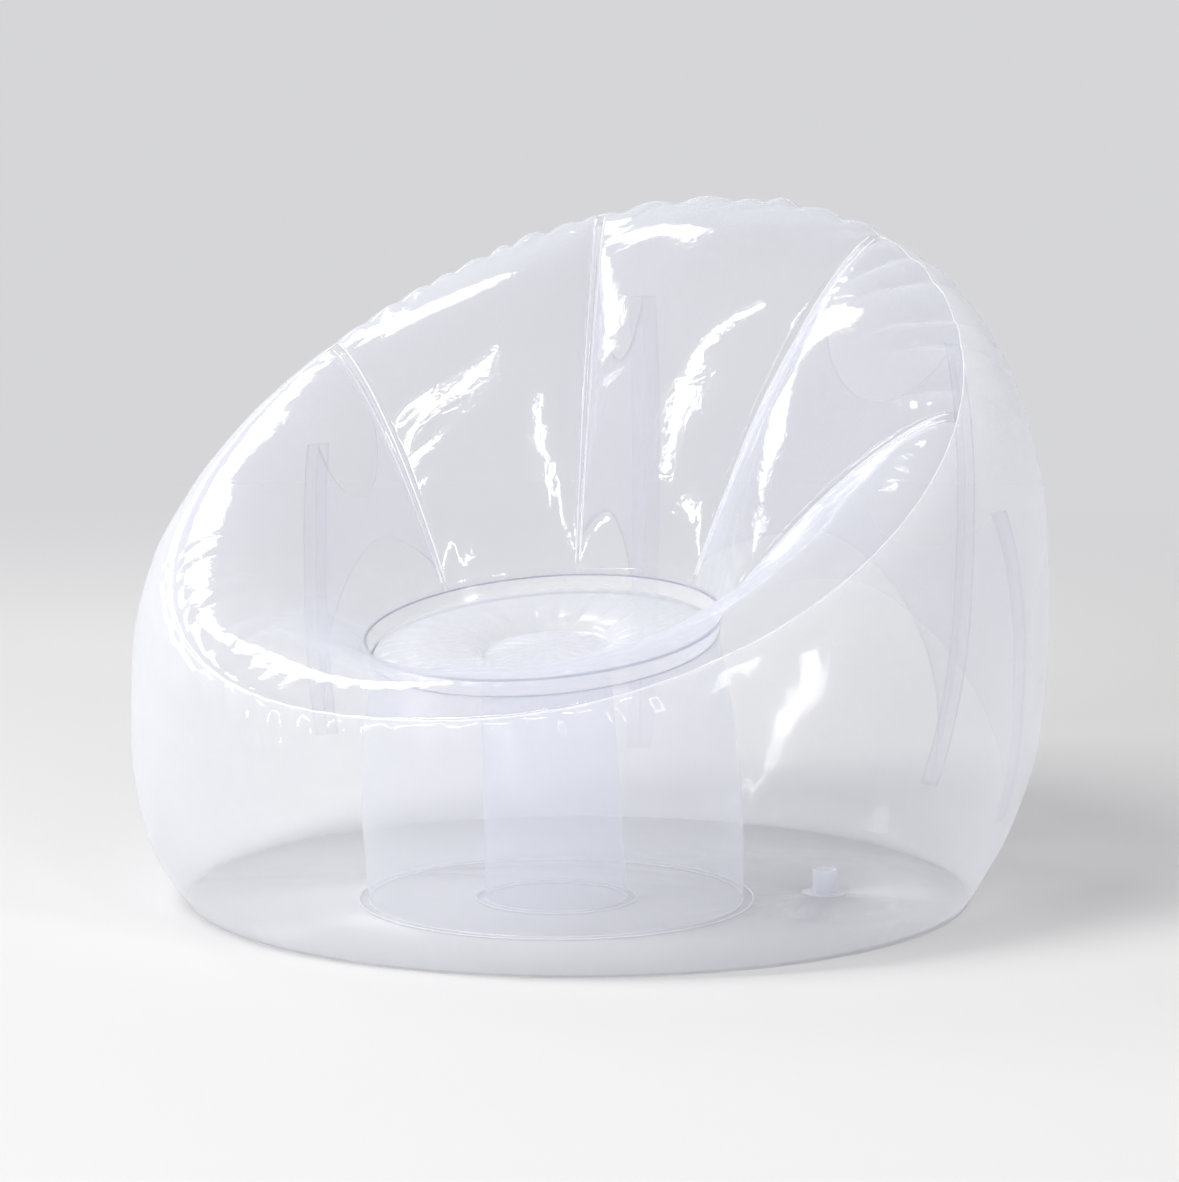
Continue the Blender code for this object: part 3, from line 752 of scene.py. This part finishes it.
def make_wall_strip(name, heading, foot, top):
    """The upright band inside the wall, that holds the web's outer edge."""
    half = math.degrees(WALL_STRIP_WIDTH / 2 / RIM_RADIUS) * WALL_TURN_SHARE
    heights = np.linspace(foot, top, 40)
    grid = np.stack([at_heights(moved_line(heading + side, "wall", FILM + WELD_GAP), heights)
                     for side in np.linspace(-half, half, 7)])
    film_from_grid("wall_strip_" + name + "_film", grid, WELD_FILM, "weld_film", flip=True,
                   replaced=["wall_strip_" + name])


def make_webs():
    """Each web, with the strips that it is welded on."""
    for name, (crease, _, strip) in WEB_HEADINGS.items():
        foot, top = [share * float(rim_height(strip)) for share in STRIP_END_SHARES[name]]
        make_web(name, crease, strip, foot, top)
        make_crease_strip(name, crease)
        make_wall_strip(name, strip, foot, top)


# Seat, pillar and base


def make_seat_band():
    """The band under the seat, with the narrow flanges that its two ring welds leave outside it."""
    headings = even_headings(0.0, 360.0, RING_STEP)
    t = np.linspace(0, 1, 9)
    lift = -BAND_HEIGHT + (BAND_HEIGHT - FILM - GAP) * t
    radius = SEAT_RADIUS - BAND_TAPER * (1.0 - t) + BAND_BELLY * np.sin(math.pi * t)
    lift = np.concatenate((lift[:1], lift, lift[-1:] - GAP))
    radius = np.concatenate((radius[:1] + RING_FLANGE, radius, radius[-1:] + RING_FLANGE))
    film_from_grid("seat_band_film", on_seat(radius, headings[:, None], lift), RING_FILM,
                   "clear_film", closed=True, replaced=["seat_band"])
    # Both ring beads take the grey tint: painted shade, a dark line along the seat ring
    for name, radius, height in (("upper", SEAT_RADIUS + GAP, -RING_BEAD),
                                 ("lower", SEAT_RADIUS - BAND_TAPER, -BAND_HEIGHT)):
        weld_bead("seat_ring_bead_" + name, on_seat(radius, headings, height), RING_BEAD,
                  closed=True, material=SHADE_LINE_VINYL)


def make_seat_panel():
    """The puffy round seat, with folds that run in from its edge and out from its middle ring."""
    headings = even_headings(0.0, 360.0, 1.0)
    t = np.linspace(0, 1, 41)
    edge = SEAT_RADIUS - BAND_TAPER - GAP
    ring = np.clip(t / SEAT_RING_SHARE, 0, 1)
    radius = edge + (SEAT_CENTRE_RADIUS - edge) * ring
    lift = -BAND_HEIGHT - SEAT_CENTRE_DROP * ring
    lift = lift + SEAT_CROWN * np.clip(1.0 - (2.0 * ring - 1.0) ** 2, 0, 1) ** 0.5
    inner = np.clip((t - SEAT_RING_SHARE) / (1.0 - SEAT_RING_SHARE), 0, 1)
    radius = np.where(t > SEAT_RING_SHARE, SEAT_CENTRE_RADIUS * (1.0 - inner), radius)
    lift = lift + SEAT_DIMPLE * (1.0 - (1.0 - inner) ** 2)
    edge_folds = weld_folds(Puckers(31, 9.0), headings, edge - radius, SEAT_EDGE_REACH, 0.45)
    ring_folds = weld_folds(Puckers(33, 17.0), headings, np.abs(radius - SEAT_CENTRE_RADIUS),
                            SEAT_RING_REACH, 0.45)
    puff = SEAT_FOLD * (edge_folds + ring_folds * (t < SEAT_STILL_SHARE))
    grid = on_seat(radius, headings[:, None], lift + puff)
    grid[-1] = grid[0]
    grid[:, -1] = grid[0, -1]
    film_from_grid("seat_panel_film", grid, SEAT_FILM, "clear_film", closed=True, flip=True,
                   replaced=["seat_panel"])


def make_tube(name, top_radius, top_lift, base_radius, belly):
    """A pillar film, from its welded flange on the base up to its ring under the seat."""
    headings = even_headings(0.0, 360.0, RING_STEP)
    foot = 2 * FILM + GAP
    out = toward(headings)
    top = on_seat(top_radius, headings, top_lift)
    base = base_radius * out - np.array((0.0, PILLAR_FORWARD))
    low = np.concatenate((base, np.full((len(base), 1), foot)), axis=1)
    t = np.linspace(0, 1, 41)
    grid = low[:, None, :] + (top - low)[:, None, :] * t[None, :, None]
    folds = weld_folds(Puckers(41, 6.0), headings, TUBE_HEIGHT * np.minimum(t, 1 - t), TUBE_REACH)
    swell = belly * np.sin(math.pi * t) + TUBE_FOLD * folds
    grid[..., :2] += swell[..., None] * out[:, None, :]
    flange = low[:, None, :].copy()
    flange[..., :2] += TUBE_FLANGE * out[:, None, :]
    grid = np.concatenate((flange, grid), axis=1)
    grid[-1] = grid[0]
    film_from_grid(name + "_film", grid, FLAT_FILM, "clear_film", closed=True, flip=True,
                   replaced=[name])
    for place, line in (("outer", grid[:, 0]), ("inner", grid[:, 1])):
        weld_bead(name + "_foot_bead_" + place, line + (0.0, 0.0, RING_BEAD), RING_BEAD,
                  closed=True)


def make_pillar():
    """The wide tube under the seat's edge, and the narrow one under its middle ring."""
    make_tube("seat_tube", SEAT_RADIUS - BAND_TAPER, -(BAND_HEIGHT + FILM + GAP),
              PILLAR_BASE_RADIUS, PILLAR_BELLY)
    make_tube("centre_tube", SEAT_CENTRE_RADIUS,
              -(BAND_HEIGHT + SEAT_CENTRE_DROP + FILM + 2 * GAP), TUBE_BASE_RADIUS, TUBE_BELLY)


def make_base_panel():
    """The flat disc of film on the floor, out to the wall's foot, with a hole for the valve."""
    shape = bmesh.new()
    bmesh.ops.create_circle(shape, segments=BASE_SIDES, radius=BASE_RADIUS, cap_ends=False)
    bmesh.ops.translate(shape, verts=shape.verts, vec=(0.0, -BASE_FORWARD, FILM))
    hole = bmesh.ops.create_circle(shape, segments=VALVE_HOLE_SIDES, radius=VALVE_HOLE_RADIUS,
                                   cap_ends=False)["verts"]
    bmesh.ops.translate(shape, verts=hole, vec=(VALVE_RIGHT, VALVE_BACK, FILM))
    bmesh.ops.triangle_fill(shape, use_beauty=True, use_dissolve=False, edges=list(shape.edges),
                            normal=(0, 0, 1))
    for face in shape.faces:
        if face.normal.z < 0:
            face.normal_flip()
    new_object("base_panel_film", shape, BASE_FILM, "clear_film", ["base_panel"])


def finish_kept_nodes():
    """The nodes whose shape is right keep it, and get their finish."""
    finishes = {"clear_film": FLAT_FILM, "weld_film": WELD_FILM, "valve_vinyl": VALVE_VINYL}
    slots = {row["node"]: row["material_slot"] for row in frame["record"]["subparts"]}
    for name, piece in frame["nodes"].items():
        piece.data.materials.clear()
        piece.data.materials.append(finishes[slots[name]])


make_outer_wall()
make_lining()
make_webs()
make_seat_band()
make_seat_panel()
make_pillar()
make_base_panel()
finish_kept_nodes()


# Studio

# The backdrop's tone, how bright it is seen and how bright it lights, and how far from the chair
# the floor fades into it
BACKDROP_HEX = "F3F3F6"
BACKDROP_SEEN = 0.75
BACKDROP_LIGHT = 0.33
FLOOR_HEX = "C8C7C7"
FADE_START = 1.7
FADE_END = 4.2
FLOOR_RADIUS = 12.0
FLOOR_GAP = 0.0002

# Azimuth from the front toward +X, height angle and lean in degrees, width, length, distance from
# the chair, and radiance
LAMPS = {
    "left_window": (-119.5, 44.0, 0.0, 1.5, 3.6, 8.0, 6.2),
    "side_pane": (-96.0, 30.0, 0.0, 3.4, 1.5, 8.0, 5.0),
    "key_strip": (-28.0, 45.0, -24.0, 0.42, 8.4, 9.0, 20.0),
    "soft_key": (-34.0, 57.0, 0.0, 4.0, 3.6, 9.0, 9.8),
    "front_fill": (-16.0, 12.0, 0.0, 3.0, 1.5, 6.0, 17.0),
    "front_right_strip": (51.0, 43.0, 0.0, 0.40, 2.6, 6.0, 9.0),
    "right_window": (73.0, 18.0, 0.0, 0.8, 3.0, 6.0, 9.0),
}
# Lamps behind a cloth, which light the chair without showing in its gloss
UNSEEN_IN_GLOSS = {"soft_key", "front_fill"}
LAMP_AIM = (0.0, -0.02, 0.36)

# The viewpoint that the photograph's outline, rim and rings fit
VIEW_AZIMUTH = 27.377
VIEW_HEIGHT = 7.603
VIEW_AIM = (0.0, -0.0245, 0.32605)
VIEW_ASIDE = 0.01156
VIEW_DISTANCE = 4.28842
FOCAL_PIXELS = 4000.02
PHOTO_PIXELS = 1182
SENSOR_MM = 36.0


def is_seen(tree):
    """1 on the rays that the camera or a gloss looks along, and 0 on those that carry light."""
    path = node(tree, "ShaderNodeLightPath")
    seen = node(tree, "ShaderNodeMath", [(0, path.outputs["Is Camera Ray"]),
                                         (1, path.outputs["Is Glossy Ray"])], operation="MAXIMUM")
    return seen.outputs[0]


def studio_paper():
    """Matt paper, which with distance from the chair fades into the even tone of the backdrop."""
    made, tree = new_material("studio_paper")
    place = node(tree, "ShaderNodeTexCoord")
    far = node(tree, "ShaderNodeVectorMath", [(0, place.outputs["Object"])], operation="LENGTH")
    fade = node(tree, "ShaderNodeMapRange", [("Value", far.outputs["Value"])],
                interpolation_type="SMOOTHSTEP", From_Min=FADE_START, From_Max=FADE_END)
    share = node(tree, "ShaderNodeMath", [(0, fade.outputs[0]), (1, is_seen(tree))],
                 operation="MULTIPLY")
    paper = node(tree, "ShaderNodeBsdfDiffuse", Color=colour(FLOOR_HEX), Roughness=0.5)
    backdrop = node(tree, "ShaderNodeEmission", Color=colour(BACKDROP_HEX), Strength=BACKDROP_SEEN)
    surface = node(tree, "ShaderNodeMixShader", [(0, share.outputs[0]), (1, paper.outputs[0]),
                                                 (2, backdrop.outputs[0])])
    node(tree, "ShaderNodeOutputMaterial", [("Surface", surface.outputs[0])])
    return made


def make_studio():
    """A round pale floor, so that the chair has the same studio behind it from every side."""
    shape = bmesh.new()
    bmesh.ops.create_circle(shape, segments=96, radius=FLOOR_RADIUS, cap_ends=True)
    bmesh.ops.translate(shape, verts=shape.verts, vec=(0.0, 0.0, -FLOOR_GAP))
    mesh = bpy.data.meshes.new("studio_floor")
    shape.to_mesh(mesh)
    shape.free()
    mesh.materials.append(studio_paper())
    floor = bpy.data.objects.new("studio_floor", mesh)
    bpy.context.scene.collection.objects.link(floor)


def make_world():
    """The backdrop all round, seen brighter than it lights."""
    world = bpy.data.worlds.new("studio_air")
    world.use_nodes = True
    tree = world.node_tree
    tree.nodes.clear()
    amount = node(tree, "ShaderNodeMapRange", [("Value", is_seen(tree))],
                  To_Min=BACKDROP_LIGHT, To_Max=BACKDROP_SEEN)
    air = node(tree, "ShaderNodeBackground", [("Strength", amount.outputs[0])],
               Color=colour(BACKDROP_HEX))
    node(tree, "ShaderNodeOutputWorld", [("Surface", air.outputs[0])])
    bpy.context.scene.world = world


def outward(azimuth, height):
    """The unit step from the chair toward an azimuth and height angle."""
    a, e = math.radians(azimuth), math.radians(height)
    return Vector((math.sin(a) * math.cos(e), -math.cos(a) * math.cos(e), math.sin(e)))


def make_lamps():
    """Soft rectangles of light, each facing the chair."""
    for name, (azimuth, height, lean, across, tall, distance, radiance) in LAMPS.items():
        lamp = bpy.data.lights.new(name, "AREA")
        lamp.shape = "RECTANGLE"
        lamp.size = across
        lamp.size_y = tall
        lamp.energy = radiance * math.pi * across * tall
        way = outward(azimuth, height)
        holder = bpy.data.objects.new(name, lamp)
        bpy.context.scene.collection.objects.link(holder)
        holder.location = Vector(LAMP_AIM) + way * distance
        holder.rotation_mode = "QUATERNION"
        leaned = Matrix.Rotation(math.radians(lean), 3, "Z")
        facing = way.to_track_quat("Z", "Y").to_matrix() @ leaned
        holder.rotation_quaternion = facing.to_quaternion()
        holder.visible_camera = False
        holder.visible_glossy = name not in UNSEEN_IN_GLOSS


def make_camera():
    """The photograph's viewpoint."""
    back = outward(VIEW_AZIMUTH, VIEW_HEIGHT)
    turn = math.radians(VIEW_AZIMUTH)
    right = Vector((math.cos(turn), math.sin(turn), 0.0))
    lens = bpy.data.cameras.new("camera")
    lens.sensor_width = SENSOR_MM
    lens.lens = FOCAL_PIXELS * SENSOR_MM / PHOTO_PIXELS
    lens.clip_end = 60.0
    camera = bpy.data.objects.new("camera", lens)
    bpy.context.scene.collection.objects.link(camera)
    camera.location = Vector(VIEW_AIM) + right * VIEW_ASIDE + back * VIEW_DISTANCE
    camera.rotation_mode = "QUATERNION"
    camera.rotation_quaternion = back.to_track_quat("Z", "Y")
    bpy.context.scene.camera = camera


make_studio()
make_world()
make_lamps()
make_camera()
scene = bpy.context.scene
scene.view_settings.view_transform = "Standard"
# A line of sight crosses the two faces of up to a few dozen films and strips
scene.cycles.transparent_max_bounces = 96
scene.cycles.max_bounces = 12
